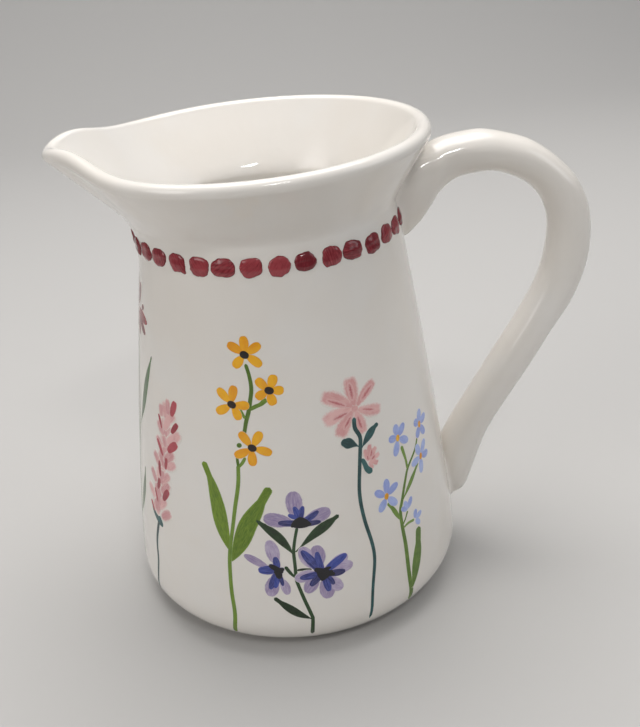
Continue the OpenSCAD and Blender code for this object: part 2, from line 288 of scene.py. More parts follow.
def glaze_colour(n):
    """Creamy white, a little warmer or cooler from place to place, with a few fine specks."""
    cloud = n.ramp(n.noise(14, 3), 0.35, 0.65)
    colour = n.mix(n.math("MULTIPLY", cloud, 0.35), GLAZE_WHITE, GLAZE_WARM)
    drift = n.ramp(n.noise(31, 2, 0.6), 0.45, 0.75)
    colour = n.mix(n.math("MULTIPLY", drift, 0.4), colour, GLAZE_COOL)
    cells = n.add("ShaderNodeTexVoronoi")
    cells.inputs["Scale"].default_value = 45
    n.put(n.place(), cells.inputs["Vector"])
    chosen = n.math("GREATER_THAN", cells.outputs["Color"], 0.62)
    speck = n.math("MULTIPLY", n.ramp(cells.outputs["Distance"], 0.010, 0.020, 1.0, 0.0), chosen)
    return n.mix(n.math("MULTIPLY", speck, 0.85), colour, rgb(0.10, 0.07, 0.05))


def glaze_finish(n, colour, extra=None):
    """The fired glaze over whatever colour lies under it: a gloss that ripples slightly."""
    s = n.shader
    n.put(colour, s.inputs["Base Color"])
    s.inputs["Roughness"].default_value = 0.4
    s.inputs["IOR"].default_value = 1.5
    s.inputs["Specular IOR Level"].default_value = 0.0
    s.inputs["Coat Weight"].default_value = 1.0
    s.inputs["Coat Roughness"].default_value = 0.045
    s.inputs["Coat IOR"].default_value = 1.52
    ripple = n.math("ADD", n.noise(55, 2), n.math("MULTIPLY", n.noise(170, 2), 0.25))
    if extra is not None:
        ripple = n.math("ADD", ripple, extra)
    bump = n.add("ShaderNodeBump")
    bump.inputs["Strength"].default_value = 0.35
    bump.inputs["Distance"].default_value = 0.0006
    n.put(ripple, bump.inputs["Height"])
    n.put(bump.outputs[0], s.inputs["Normal"])
    n.put(bump.outputs[0], s.inputs["Coat Normal"])
    return n.material


def clay_material():
    """The glaze on the clay, and the dry ring under the base where it was wiped off."""
    n = Nodes("glazed_clay")
    dry = n.ramp(n.attribute("dry"), 0.35, 0.65)
    grain = n.mix(n.noise(700, 3), BISQUE, rgb(0.62, 0.53, 0.42))
    material = glaze_finish(n, n.mix(dry, glaze_colour(n), grain))
    n.put(n.ramp(dry, 0.0, 1.0, 0.4, 0.85), n.shader.inputs["Roughness"])
    n.put(n.ramp(dry, 0.0, 1.0, 1.0, 0.0), n.shader.inputs["Coat Weight"])
    return material


def paint_material(name, light, dark, edge=None, streaks=0.5, soft=0.15, thin=0.0, over=None):
    """Underglaze colour brushed on in strokes. Bristle streaks run from light to dark, and
    where a stroke's cover falls off the colour thins out to what lies under it: the glaze,
    or the colour it is painted over."""
    n = Nodes(name)
    along, across, tone = n.attribute("along"), n.attribute("across"), n.attribute("tone")
    bristles = n.vector(n.math("MULTIPLY", along, 0.35), n.math("MULTIPLY", across, 2.2),
                        n.math("MULTIPLY", tone, 9.0))
    bristle = n.noise(1.0, 3, 0.6, bristles)
    pool = n.noise(260, 2)
    shade = n.math("ADD", n.math("MULTIPLY", bristle, streaks),
                   n.math("MULTIPLY", pool, 1 - streaks))
    shade = n.math("ADD", shade, n.math("MULTIPLY", n.math("SUBTRACT", tone, 0.5), 0.35))
    colour = n.mix(n.ramp(shade, 0.3, 0.7), light, dark)
    ragged = n.math("ADD", n.attribute("cover"),
                    n.math("MULTIPLY", n.math("SUBTRACT", n.noise(1500, 2), 0.5), soft))
    cover = n.ramp(ragged, 0.0, max(soft, 0.05))
    if thin:
        cover = n.math("MULTIPLY", cover, n.ramp(bristle, 0.2, 0.75, 1 - thin, 1.0))
    under = glaze_colour(n) if over is None else n.mix(0.15, over, glaze_colour(n))
    if edge is not None:
        colour = n.mix(n.ramp(n.attribute("cover"), 0.0, 0.75), edge, colour)
    return glaze_finish(n, n.mix(cover, under, colour))


# ---- the clay ----

def build_body():
    """The vessel as one smooth skin: under the base, up the outside, over the lip and down
    the inside."""
    around = 288
    a = np.arange(around) * 360.0 / around
    rows = []
    dry = []

    def row(r, z, dryness=0.0):
        rows.append(polar(r + 0 * a, a, z + 0 * a))
        dry.append(np.full(around, dryness))

    for r in (2.0, 12.0, 24.0, 34.0, 40.0, 43.0):
        row(np.full(around, r), FOOT_RISE)
    row(np.full(around, FOOT_RING_R - 1), 0.3)
    for r in (FOOT_RING_R, 46.5, 48.0, 50.0):
        row(np.full(around, r), 0.0, 1.0)
    for b in np.linspace(2, 86, 22):
        z = BASE_H * (1 - math.cos(math.radians(b)))
        r = BASE_R + (BODY_R - BASE_R) * math.sin(math.radians(b))
        row(r + wobble(a, z) * min(1, z / 6), z, 1.0 if b < 5 else 0.0)
    for z in np.linspace(BASE_H, NECK_H, 78):
        row(outer_r(a, np.full(around, z)), z)
    top = rim_z(a) - LIP_DROP * LIP_R
    for t in np.linspace(0, 1, 38)[1:]:
        z = NECK_H + (top - NECK_H) * t
        row(outer_r(a, z), z)
    for turn in np.radians(np.linspace(-30, 150, 19)[1:]):
        row(rim_r(a) + LIP_R * math.cos(turn) + wobble(a, RIM_H),
            rim_z(a) + LIP_R * math.sin(turn))
    inside_top_r = rim_r(a) - LIP_SIDE * LIP_R + wobble(a, RIM_H)
    inside_top_z = rim_z(a) + LIP_DROP * LIP_R
    neck_inner = NECK_R + THROAT_OUT * throat(a) - WALL_T
    for t in np.linspace(1, 0, 30)[1:]:
        row(neck_inner + (inside_top_r - neck_inner) * flare(a, t),
            NECK_H + (inside_top_z - NECK_H) * t)
    for z in np.linspace(NECK_H, INNER_EDGE_H, 40)[1:]:
        row(wall_r(z) + neck_bulge(a, z) - WALL_T, z)
    edge_r = float(wall_r(INNER_EDGE_H)) - WALL_T
    for b in np.linspace(80, 0, 12):
        rise = 1 - math.cos(math.radians(b))
        row(INNER_FOOT_R + (edge_r - INNER_FOOT_R) * math.sin(math.radians(b)),
            FLOOR_T + (INNER_EDGE_H - FLOOR_T) * rise)
    for r in (40.0, 28.0, 14.0, 2.0):
        row(np.full(around, r), FLOOR_T)
    points = np.concatenate(rows)
    faces = grid_faces(len(rows), around)
    last = (len(rows) - 1) * around
    faces.append(tuple(range(around - 1, -1, -1)))
    faces.append(tuple(range(last, last + around)))
    obj = new_mesh("pitcher_body", points, faces)
    set_attribute(obj, "dry", np.concatenate(dry))
    return obj


# sections along the handle, as in the part: x and z of the outer side, x and z of the inner
# side, half width, and how much wider the outer half is
HANDLE_SECTIONS = np.array([
    (44, 187, 48, 154, 10.5, 0.5), (54, 188.5, 56.5, 154.5, 10.5, 0.5),
    (60, 190, 60.5, 157.5, 10.5, 0.5),
    (65, 191.5, 64, 161, 10.5, 0.4), (69.5, 193, 67.5, 166, 10.5, 0.3),
    (74, 194.5, 71.5, 172, 10, 0.2),
    (80.5, 195.5, 78.5, 177, 10, 0.1), (90, 196, 89, 178.5, 10, 0),
    (100.5, 193.5, 95.5, 178, 9.5, 0),
    (111, 189.5, 103.5, 175, 9.5, 0), (121.5, 182, 111, 170, 9.5, 0),
    (131.5, 171, 116.5, 163, 9.5, 0),
    (137.5, 155.5, 119.5, 152.5, 9.5, 0), (137.5, 136.5, 118.5, 139.5, 9.5, 0),
    (131.5, 118, 114.5, 126, 9.5, 0), (121, 101.5, 106, 110.5, 9.5, 0),
    (111.5, 86, 96.5, 96, 9.5, 0),
    (102, 72, 87, 81, 9.5, 0), (92.5, 57, 77.5, 66, 10, 0), (87, 43.5, 71, 54, 11, 0),
    (84, 36, 68.5, 46, 12, 0), (82, 31, 66, 39, 12, 0), (80.5, 28, 64, 34, 11, 0),
    (78, 26.5, 62, 30.5, 9.5, 0),
    (74.5, 25.5, 60, 28, 8.5, 0), (68, 25, 58, 26.5, 7, 0)], float)


def spline(points, per_span):
    """A smooth line through the points."""
    p = np.asarray(points, float)
    p = np.vstack([2 * p[0] - p[1], p, 2 * p[-1] - p[-2]])
    t = np.arange(per_span)[:, None] / per_span
    spans = []
    for a, b, c, d in zip(p[:-3], p[1:-2], p[2:-1], p[3:]):
        spans.append(0.5 * (2 * b + (c - a) * t + (2 * a - 5 * b + 4 * c - d) * t ** 2
                            + (3 * b - a - 3 * c + d) * t ** 3))
    return np.vstack(spans + [p[-2][None]])


def outside_by(points):
    """How far points lie outside the vessel, measured along its radius."""
    angle = np.degrees(np.arctan2(points[..., 1], points[..., 0]))
    return np.hypot(points[..., 0], points[..., 1]) - outer_r(angle, points[..., 2])


def to_surface(points, lift):
    """The points moved level on to the vessel's outside and lifted off it."""
    angle = np.degrees(np.arctan2(points[..., 1], points[..., 0]))
    return on_wall(angle, points[..., 2], lift)


def build_handle():
    """The rolled strap, with both ends smeared on to the vessel in a soft fillet."""
    columns, middle, fillet = 56, 170, 9
    sections = spline(HANDLE_SECTIONS, 20)
    line = (sections[:, :2] + sections[:, 2:4]) / 2
    half = (sections[:, :2] - sections[:, 2:4]) / 2
    turn = np.arange(columns) * 2 * np.pi / columns
    wave = 1 + 0.010 * np.sin(np.arange(len(line)) / 31)[:, None] * np.cos(turn * 2)[None]
    c, s = np.cos(turn)[None] * wave, np.sin(turn)[None] * wave
    roll = np.stack([line[:, :1] + half[:, :1] * c,
                     -sections[:, 4:5] * s * (1 + sections[:, 5:] * c),
                     line[:, 1:] + half[:, 1:] * c], -1)
    outside = outside_by(roll)
    grid = np.zeros((2 * fillet + middle + 2, columns, 3))
    halfway = len(line) // 2
    for j in range(columns):
        column = roll[:, j]
        start = halfway
        while start > 0 and outside[start - 1, j] > 0:
            start -= 1
        end = halfway
        while end < len(line) - 1 and outside[end + 1, j] > 0:
            end += 1
        steps = np.concatenate([[0], np.cumsum(np.linalg.norm(np.diff(column, axis=0), axis=1))])

        def at(distance, column=column, steps=steps):
            return np.array([np.interp(distance, steps, column[:, k]) for k in range(3)])

        flank, top = math.sin(turn[j]) ** 2, math.cos(turn[j])
        ends = []
        # reach runs up the roll and spread out over the wall; both are longest at the flanks
        for hit, way, reach, spread in (
                (start, 1, 1.5 + (3.6 + top) * flank, 0.7 + (2.6 + 1.4 * top) * flank),
                (end, -1, 1.4 + 4.2 * flank, 0.6 + 3.6 * flank)):
            other = hit - way
            share = outside[hit, j] / (outside[hit, j] - outside[other, j])
            contact = column[hit] + (column[other] - column[hit]) * share
            here = steps[hit] + (steps[other] - steps[hit]) * share
            axis = np.array([line[hit, 0], 0, line[hit, 1]])
            away = contact - axis
            surface = to_surface(contact, 0.0)
            normal = to_surface(contact, 1.0) - surface
            away -= normal * (away @ normal) / (normal @ normal)
            away /= max(np.linalg.norm(away), 1e-6)
            far = to_surface(contact + away * spread, -0.02)
            near = at(here + way * reach)
            t = np.linspace(0, 1, fillet + 1)[:-1, None]
            curve = (1 - t) ** 2 * far + 2 * t * (1 - t) * contact + t ** 2 * near
            root = to_surface(contact + away * (spread + 1.6), -0.45)
            ends.append((root, curve, here + way * reach))
        (root_a, curve_a, from_s), (root_b, curve_b, to_s) = ends
        body = np.array([at(d) for d in np.linspace(from_s, to_s, middle)])
        grid[:, j] = np.vstack([root_a[None], curve_a, body, curve_b[::-1], root_b[None]])

    def closing(ring):
        """Rings that close an end inside the vessel's wall."""
        centre = ring.mean(axis=0)
        return [to_surface(ring * (1 - q) + centre * q, -1.5) for q in (0.2, 0.6, 0.95)]

    grid = np.concatenate([closing(grid[0])[::-1], grid, closing(grid[-1])])
    rows = len(grid)
    faces = grid_faces(rows, columns)
    faces.append(tuple(range(columns - 1, -1, -1)))
    faces.append(tuple(range((rows - 1) * columns, rows * columns)))
    obj = new_mesh("pitcher_handle", grid.reshape(-1, 3), faces)
    set_attribute(obj, "dry", np.zeros(len(obj.data.vertices)))
    return obj


# ---- the raised dots ----

DOT_COUNT = 31
DOT_START = 16.0
DOT_H = 167.5
DOT_R = 4.4
DOT_SQUASH = 0.86
DOT_RISE = 1.3
DOME_POWER = 2.8
# the one dot that ran into a longer drip
DRIP_DOT = 19


def build_dots():
    """Blobs of thick crimson glaze, each with its own uneven outline."""
    rng = np.random.default_rng(7)
    rings, spokes = 11, 44
    psi = np.arange(spokes) * 2 * np.pi / spokes
    points, faces, along, across, cover, tone = [], [], [], [], [], []
    for i in range(DOT_COUNT):
        centre = DOT_START + (360 - 2 * DOT_START) * i / (DOT_COUNT - 1) + rng.uniform(-0.5, 0.5)
        height = DOT_H - 0.3 + rng.uniform(-0.6, 0.6)
        wide = rng.uniform(0.92, 1.10)
        square = rng.uniform(2.1, 3.0)
        tilt = psi + rng.uniform(-0.35, 0.35)
        outline = (np.abs(np.cos(tilt)) ** square + np.abs(np.sin(tilt)) ** square) ** (-1 / square)
        outline *= rng.uniform(0.95, 1.0)
        for k, size in ((2, 0.05), (3, 0.045), (5, 0.03), (8, 0.022), (13, 0.014)):
            outline += size * rng.uniform(0.3, 1) * np.cos(k * psi + rng.uniform(0, 6.3))
        flick, reach = (5.5, 0.42) if i == DRIP_DOT else (rng.uniform(0, 6.28),
                                                          rng.uniform(0.03, 0.13))
        outline += reach * np.exp(-((np.mod(psi - flick + np.pi, 2 * np.pi) - np.pi) / 0.17) ** 2)
        first = sum(len(p) for p in points)
        radius = float(outer_r(centre, height))
        brush = rng.uniform(0, 3.1)
        lumps = rng.uniform(0, 6.3, 3)
        for s in np.concatenate([np.sin(np.linspace(0.08, 1, rings) * np.pi / 2), [1.005]]):
            x = DOT_R * wide * outline * s * np.cos(psi)
            y = DOT_SQUASH * DOT_R * outline * s * np.sin(psi)
            dome = np.sqrt(max(0.0, 1 - min(s, 1) ** DOME_POWER))
            relief = DOT_RISE * dome * (0.82 - 0.12 * y / DOT_R + 0.06 * np.sin(1.3 * x + lumps[0])
                                        + 0.06 * np.sin(1.7 * y + lumps[1]))
            lift = relief - (0.25 if s > 1 else 0.04)
            points.append(on_wall(centre + np.degrees(x / radius), height + y, lift))
            along.append(x * math.cos(brush) + y * math.sin(brush))
            across.append(-x * math.sin(brush) + y * math.cos(brush))
            cover.append(np.full(spokes, 1.0 - 0.7 * min(s, 1) ** 8))
            tone.append(np.full(spokes, rng.uniform(0, 1) if s < 0.2 else 0.0))
        tone[-(rings + 1):] = [np.full(spokes, tone[-(rings + 1)][0])] * (rings + 1)
        faces += grid_faces(rings + 1, spokes, first)
        faces.append(tuple(first + k for k in range(spokes - 1, -1, -1)))
        last = first + rings * spokes
        faces.append(tuple(last + k for k in range(spokes)))
    obj = new_mesh("raised_dots", np.concatenate(points), faces)
    for name, values in (("along", along), ("across", across), ("cover", cover), ("tone", tone)):
        set_attribute(obj, name, np.concatenate(values))
    return obj


# ---- brush strokes ----

class Brush:
    """Collects the strokes of one colour. Strokes are drawn with x across and y up, in
    millimetres, in the plane that touches the wall at a sprig's angle, and are laid on the
    wall as thin closed skins. Each coat lies a little higher than the one below."""

    def __init__(self, seed, coat):
        self.rng = np.random.default_rng(seed)
        self.coat = coat
        self.points, self.faces, self.data = [], [], []
        self.count = 0
        self.strokes = 0

    def lay(self, at, spine, half, soft=0.12, steps=11):
        """A stroke along a spine, with a half width at each of its points."""
        spine, half = np.asarray(spine, float), np.asarray(half, float)
        direction = np.gradient(spine, axis=0)
        direction /= np.maximum(np.linalg.norm(direction, axis=1), 1e-9)[:, None]
        normal = np.stack([-direction[:, 1], direction[:, 0]], -1)
        v = np.sin(np.linspace(-1, 1, steps) * np.pi / 2)
        xy = spine[:, None] + normal[:, None] * (half[:, None] * v[None])[..., None]
        length = np.concatenate([[0], np.cumsum(np.linalg.norm(np.diff(spine, axis=0), axis=1))])
        ends = np.minimum(length, length[-1] - length)
        near = np.minimum((1 - np.abs(v))[None] * half[:, None], ends[:, None] + 0 * v[None])
        fade = max(soft * half.max() * 2, 0.12)
        cover = np.clip(near / fade, 0, 1)
        lift = 0.025 + 0.045 * self.coat + 0.0012 * (self.strokes % 24) + 0.045 * np.sqrt(cover)
        top = self.on_sprig(at, xy, lift)
        under = self.on_sprig(at, xy[:, [0, -1]], np.full((len(spine), 2), -0.12))
        if at > 0:
            top, under = top[:, ::-1], under[:, ::-1]
        self.add(top, under, cover, length, v * half.max())
        self.strokes += 1

    def on_sprig(self, at, xy, lift):
        """Points of a drawing on the wall; the drawings behind are mirrored."""
        x, z = -np.sign(at) * xy[..., 0], xy[..., 1]
        angle = at + np.degrees(np.arcsin(x / wall_r(np.clip(z, 1, NECK_H))))
        return on_wall(angle, z, lift)

    def add(self, top, under, cover, length, across):
        """Closes a stroke's top over its two lower edges, and notes what its material reads."""
        rows, columns = top.shape[:2]
        first = self.count
        tone = self.rng.uniform(0, 1)
        self.points += [top.reshape(-1, 3), under.reshape(-1, 3)]
        self.faces += grid_faces(rows, columns, first, wrap=False)
        base = first + rows * columns
        for i in range(rows - 1):
            left, right = first + i * columns, first + i * columns + columns - 1
            self.faces.append((base + 2 * i, left, left + columns, base + 2 * i + 2))
            self.faces.append((right, base + 2 * i + 1, base + 2 * i + 3, right + columns))
            self.faces.append((base + 2 * i + 1, base + 2 * i, base + 2 * i + 2, base + 2 * i + 3))
        for i, flip in ((0, 1), (rows - 1, -1)):
            row = [first + i * columns + k for k in range(columns)]
            row += [base + 2 * i + 1, base + 2 * i]
            self.faces.append(tuple(row[::flip]))
        size = rows * columns
        along = np.repeat(length, columns)
        side = np.tile(across, rows)
        low = np.zeros(2 * rows)
        self.data.append(np.stack([np.append(along, low), np.append(side, low),
                                   np.append(cover.ravel(), low), np.full(size + 2 * rows, tone)]))
        self.count += size + 2 * rows

    def uneven(self, half, amount=0.05):
        """The wavering edge of a stroke made by hand."""
        u = np.linspace(0, 1, len(half))
        waver = sum(self.rng.uniform(-1, 1) * np.sin(k * np.pi * u + self.rng.uniform(0, 6)) / k
                    for k in (2, 3, 5, 8))
        return half * (1 + amount * waver)

    def petal(self, at, start, tip, width, fat=1.2, full=1.0, **options):
        """A pressed stroke: narrow at its start, fullest past the middle, round at the tip.
        Below 1, full makes its sides more parallel."""
        start, tip = np.array(start, float), np.array(tip, float)
        u = 0.5 - 0.5 * np.cos(np.linspace(0.0, 1.0, 23) * np.pi)
        side = np.array([-(tip - start)[1], (tip - start)[0]])
        bend = self.rng.uniform(-0.05, 0.05)
        spine = start + (tip - start) * u[:, None] + side * (bend * np.sin(np.pi * u))[:, None]
        k = u ** fat
        half = width / 2 * np.clip(1 - (2 * k - 1) ** 2, 0, 1) ** (0.5 * full) + 0.01
        self.lay(at, spine, self.uneven(half), **options)

    def leaf(self, at, points, width, fat=1.0, tip=1.2, **options):
        """A long stroke that starts as a point, swells and ends blunt, tip wide."""
        spine = spline(points, 14)
        length = np.concatenate([[0], np.cumsum(np.linalg.norm(np.diff(spine, axis=0), axis=1))])
        u = length / length[-1]
        foot = 0.35 * np.sqrt(np.clip(length / 0.4, 0, 1))
        half = np.maximum(width / 2 * np.sin(np.pi * np.clip(u, 0, 1) ** fat), foot)
        half = half + np.clip(tip / 2 - half, 0, None) * np.clip((u - 0.5) / 0.3, 0, 1)
        round_end = np.clip((length[-1] - length) / (tip / 2), 0, 1)
        half = half * np.sqrt(1 - (1 - round_end) ** 2) + 0.01
        self.lay(at, spine, self.uneven(half), **options)

    def stem(self, at, points, start_w, end_w=None, **options):
        """A thin line with round ends and a width that wavers as the brush is pressed."""
        spine = spline(points, max(4, int(60 / len(points))))
        length = np.concatenate([[0], np.cumsum(np.linalg.norm(np.diff(spine, axis=0), axis=1))])
        u = length / length[-1]
        end_w = start_w if end_w is None else end_w
        half = (start_w + (end_w - start_w) * u) / 2
        ends = np.minimum(length, length[-1] - length)
        half = self.uneven(half, 0.12) * np.sqrt(np.clip(ends / half.mean(), 0.0004, 1))
        spine[:, 0] += 0.12 * np.sin(length / 3.1 + self.rng.uniform(0, 6))
        self.lay(at, spine, half, steps=7, **options)

    def blob(self, at, centre, width, height, turn=0.0, **options):
        """A dab of the brush's tip."""
        c, s = math.cos(math.radians(turn)), math.sin(math.radians(turn))
        reach = np.array([c, s]) * width / 2
        centre = np.array(centre, float)
        self.petal(at, centre - reach, centre + reach, height, fat=1.0, **options)

    def build(self, name):
        obj = new_mesh(name, np.concatenate(self.points), self.faces)
        for key, values in zip(("along", "across", "cover", "tone"), np.concatenate(self.data, 1)):
            set_attribute(obj, key, values)
        return obj


def both_sides(angle):
    """The side with the spout at its left and the side behind, which mirrors it."""
    return (angle, -angle)


# ---- the flowers, each drawn around its own upright line on the wall ----

YELLOW_DAISY = -112
VIOLET = -95
PINK_DAISY = -70
FORGET_ME_NOT = -53
BELLFLOWER = -150
POPPY = -168


def paint_yellow_daisy(petals, eyes, stems, leaves):
    flowers = [
        ((3.8, 134.5), [(3.5, 141.5), (9.8, 138.5), (9.8, 130), (-0.5, 129.5), (-2.6, 138.3)]),
        ((-2.4, 114.7), [(-7.7, 120.5), (-1, 122), (4.4, 114.5), (0, 108.5), (-9, 111)]),
        ((12.4, 120.2), [(8, 125), (14.2, 126.3), (17.7, 120), (14, 114.5), (7.5, 117.3)]),
        ((4.6, 97), [(0, 103.3), (8.3, 103.7), (12, 94.8), (4.6, 89.7), (-2.6, 93.5)]),
    ]
    for at in both_sides(YELLOW_DAISY):
        stems.stem(at, [(4, 131), (5, 126.5), (5.6, 121), (5, 116), (4.2, 112), (2.7, 107.5),
                        (1.6, 102.5)], 1.5, 1.8)
        stems.stem(at, [(4.4, 112.6), (6.9, 114), (9, 115), (11.2, 117)], 1.5, 2.0)
        stems.stem(at, [(2.6, 109), (1.6, 111), (0.6, 113)], 1.3, 1.0)
        stems.blob(at, (-0.6, 98), 2.2, 2.0, 30)
        stems.stem(at, [(-1.8, 93.5), (-1.6, 91), (-1.3, 88.6)], 1.3)
        stems.stem(at, [(1.6, 93), (0.2, 90.5), (-1.4, 88.6)], 1.3)
        stems.stem(at, [(-1.4, 90), (-2.1, 82.5), (-4, 71.5), (-6.2, 61), (-7.7, 52), (-8.8, 43),
                        (-8.7, 31),
                        (-8.5, 18.5), (-10.2, 8.5)], 1.6, 1.9)
        leaves.leaf(at, [(-8.2, 51), (-10.6, 61.5), (-12, 71.5), (-13.8, 80.5), (-16.8, 89)], 6.8,
                    0.8, 2.8)
        leaves.leaf(at, [(-7.6, 46), (-2.9, 55.5), (0.8, 64), (5, 71), (10.6, 80.5)], 7.8, 0.85,
                    3.8)
        for centre, tips in flowers:
            for tip in tips:
                away = np.array(tip) - centre
                petals.petal(at, centre + away * 0.1, np.array(tip) + away * 0.03, 3.8, 1.4,
                             full=0.8)
            turn = petals.rng.uniform(-50, 10)
            eyes.blob(at, centre, 3.7, 3.1, turn)


def paint_violet(petals, streaks, eyes, stems):
    for at in both_sides(VIOLET):
        stems.stem(at, [(0.2, 63), (-1.4, 56), (-2.3, 51), (-2.2, 43.5), (-2, 39), (-1.4, 36),
                        (0.3, 29), (2.7, 21.7),
                        (3.1, 19), (2, 10)], 1.3, 1.7)
        stems.leaf(at, [(-2.3, 50.5), (-5, 55), (-9, 60), (-16.4, 66.6)], 4.2, 1.0, 1.9)
        stems.leaf(at, [(-1.6, 51.5), (3.4, 56), (8, 59.5), (17.2, 65)], 4.4, 1.5, 2.0)
        stems.leaf(at, [(2.8, 19.6), (-2, 22.4), (-6.6, 26), (-12, 30.8)], 3.8, 1.0, 2.0)
        stems.stem(at, [(-2.2, 40), (-4, 42), (-6.2, 45.4)], 1.1, 1.7)
        stems.stem(at, [(-1.8, 43.3), (1, 43.4), (4.5, 42.8)], 1.0, 1.4)
        for start, tip, width, fat in (
                ((-1.5, 65.2), (-13, 67.4), 6.8, 1.2), ((0.6, 66), (-0.2, 78.5), 7.2, 1.2),
                ((3.0, 65), (14, 68), 6.8, 1.2),
                ((-10, 47), (-11.8, 57.6), 6.0, 1.0), ((-13, 45), (-22.4, 50.2), 3.9, 1.1),
                ((-11.3, 41), (-13.6, 31.4), 6.2, 1.1), ((-8, 39.6), (-6.2, 32.1), 4.2, 1.0),
                ((6.5, 43.5), (1, 53.8), 6.6, 1.1), ((8, 44), (6.8, 53.8), 6.8, 1.1),
                ((11.5, 41.4), (21.4, 41.4), 6.0, 1.1), ((11, 42), (19.4, 46.6), 5.8, 1.1),
                ((6, 41), (1.3, 32.3), 6.2, 1.1), ((6, 41.5), (-2.8, 39.2), 5.6, 1.1),
                ((9.2, 38.6), (10, 28.2), 6.8, 1.1), ((9.6, 38.6), (16.4, 31.6), 6.0, 1.1)):
            petals.petal(at, start, tip, width, fat)
        for start, tip, width in (
                ((1, 64.4), (-7.4, 65), 3.0), ((1.4, 64.4), (-0.4, 71.8), 2.8),
                ((1.6, 64.4), (3.2, 71.6), 2.6),
                ((1.8, 64.6), (9.2, 68.6), 2.8), ((2, 63.8), (9.8, 63.8), 2.6),
                ((0.6, 66.6), (-3, 68.4), 2.0),
                ((-9.6, 43.8), (-17.2, 43.4), 4.2), ((-10, 43), (-13.2, 34.8), 3.0),
                ((-9.4, 42.4), (-11, 35.4), 2.6),
                ((-9.2, 42.6), (-7.8, 36.4), 2.0), ((-9.4, 44), (-9.8, 50), 3.0),
                ((8.6, 40.6), (0.8, 52.2), 4.0), ((8.8, 41.4), (7, 50.8), 3.2),
                ((9.4, 41), (19, 47), 4.0),
                ((10, 40.4), (18, 39.6), 3.4), ((8.4, 41), (-0.8, 39.6), 3.4),
                ((8.4, 40.6), (3.2, 35.4), 3.4),
                ((9.4, 40), (10.8, 31.6), 3.4), ((9.6, 40), (13, 34.4), 2.6)):
            streaks.petal(at, start, tip, width, 1.0, full=0.8)
        eyes.petal(at, (-2.2, 62.8), (2.2, 66.8), 2.3, 1.0)
        eyes.petal(at, (1.4, 66.8), (5.8, 62.8), 2.4, 1.0)
        eyes.petal(at, (-2.0, 63.6), (5.6, 63.4), 2.4, 1.0, full=0.8)
        eyes.petal(at, (0.2, 64.6), (3.4, 64.4), 2.2, 1.0, full=0.9)
        eyes.petal(at, (-12.6, 46.2), (-7.2, 42.6), 2.5, 1.0, full=0.7)
        eyes.petal(at, (-9.8, 45.0), (-8.8, 39.8), 3.0, 1.0, full=0.7)
        eyes.petal(at, (-6.6, 44.4), (-10.8, 42.4), 2.2, 1.0, full=0.7)
        eyes.petal(at, (5.4, 43.0), (13.6, 39.0), 2.9, 0.9, full=0.7)
        eyes.petal(at, (12.8, 41.0), (7.6, 37.4), 2.5, 1.0, full=0.7)
        eyes.petal(at, (6.6, 42.0), (8.8, 37.2), 2.5, 1.0, full=0.7)
        eyes.petal(at, (8.2, 41.6), (12.2, 42.6), 1.7, 1.0)


def paint_pink_daisy(petals, streaks, stems):
    for at in both_sides(PINK_DAISY):
        stems.stem(at, [(-0.7, 104), (-1.1, 99.5), (0.6, 95), (0, 89), (-2.2, 77), (-2.6, 68.5),
                        (-2, 59), (0.1, 49),
                        (0.4, 41.5), (-0.9, 32), (-2.6, 23), (-4, 11.5)], 1.9, 1.4)
        stems.leaf(at, [(0.2, 91), (-3, 93.2), (-7.6, 95.4)], 4.6, 1.6, 3.4)
        stems.leaf(at, [(0.6, 90.2), (3.8, 93.6), (6.6, 96.2), (9.6, 98)], 3.6, 1.2, 2.0)
        stems.stem(at, [(0.2, 86), (1.1, 83.4), (2, 81), (4.2, 78.6)], 1.7, 3.0)
        for start, tip, width, fat in (
                ((-0.1, 106.4), (-0.6, 120.8), 7.4, 1.5), ((0.4, 107.2), (10.8, 115.8), 5.4, 1.4),
                ((0.2, 107), (12.4, 103.4), 6.0, 1.4), ((0.1, 107.8), (2.8, 95.6), 5.6, 1.4),
                ((0.2, 108), (-8.2, 96.8), 7.0, 1.5), ((0.5, 108), (-13.8, 104.4), 7.0, 1.5),
                ((0.7, 107), (-13.2, 115.6), 7.2, 1.5),
                ((3.4, 83.4), (2, 89.6), 2.6, 1.2), ((3.5, 83.6), (4.6, 91), 2.9, 1.3),
                ((3.6, 83.6), (7.4, 89), 2.8, 1.2),
                ((3.6, 83.8), (8.8, 85.6), 2.8, 1.2), ((3.4, 84), (7.6, 81.4), 2.8, 1.2),
                ((3.4, 84), (4.4, 79.8), 2.8, 1.1)):
            petals.petal(at, start, tip, 1.06 * width, fat + 0.15, full=0.65, soft=0.32)
        petals.blob(at, (0.1, 107.2), 3.2, 3.0, 0)
        for outer, centre, width in (
                ((-1, 118.2), (0, 107.4), 2.8), ((9.4, 114.4), (0.4, 107.4), 2.8),
                ((9, 104), (0.4, 107), 1.8),
                ((2.4, 97.6), (0.2, 107.2), 2.6), ((-11, 113.6), (0, 107.4), 2.4),
                ((-9.6, 105), (0, 107.2), 2.0),
                ((-5.6, 100), (0, 107), 2.0), ((5.4, 88.6), (3.4, 83.4), 1.7),
                ((6.6, 85.4), (3.4, 83.4), 1.6),
                ((2.8, 86.6), (3, 83), 1.0)):
            streaks.petal(at, centre + 0.3 * (np.array(outer) - centre), outer, width, 1.0,
                          full=0.8, soft=0.6)


